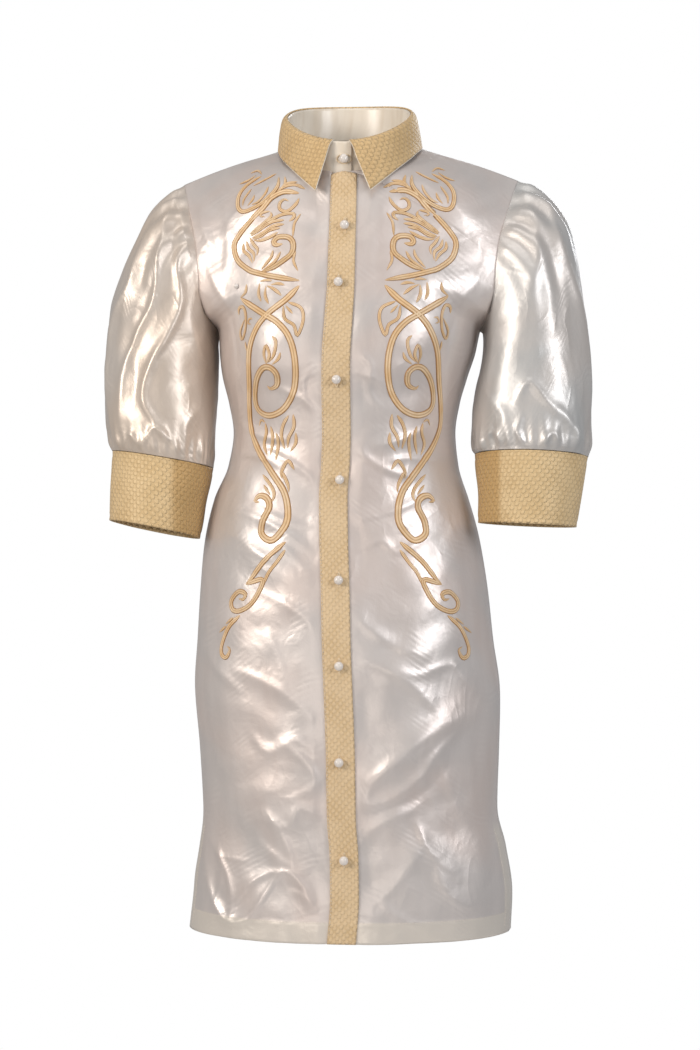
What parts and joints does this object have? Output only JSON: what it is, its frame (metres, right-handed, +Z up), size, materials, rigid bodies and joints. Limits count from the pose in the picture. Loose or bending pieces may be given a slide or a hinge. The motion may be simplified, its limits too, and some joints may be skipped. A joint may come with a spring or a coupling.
{
  "type": "barong tagalog shirt dress",
  "caption": "Pearly organza barong shirt dress with scroll embroidery, gold brocade collar, placket and cuffs, and pearl buttons.",
  "frame": {"origin": "middle of the neck, level with the neck ends of the shoulder seams, where the wearer's shoulders hold it", "axes": "+Z up towards the collar, the front faces -Y, +X to the wearer's left"},
  "size_m": [0.5804, 0.2508, 0.9938],
  "materials": {
    "organza": "pearly organza over satin lining",
    "brocade": "gold jacquard brocade",
    "satin": "cream satin",
    "pearl": "pearl lustre"
  },
  "bodies": {
    "root": {"front_right": "organza", "front_left": "organza", "back": "organza", "sleeve_right": "organza", "sleeve_left": "organza", "cuff_right": "brocade", "cuff_left": "brocade", "collar_stand": "satin", "collar_leaf": "brocade", "placket": "brocade", "pearl_button_1": "pearl", "pearl_button_2": "pearl", "pearl_button_3": "pearl", "pearl_button_4": "pearl", "pearl_button_5": "pearl", "pearl_button_6": "pearl", "pearl_button_7": "pearl", "pearl_button_8": "pearl", "pearl_button_9": "pearl"}
  },
  "joints": []
}
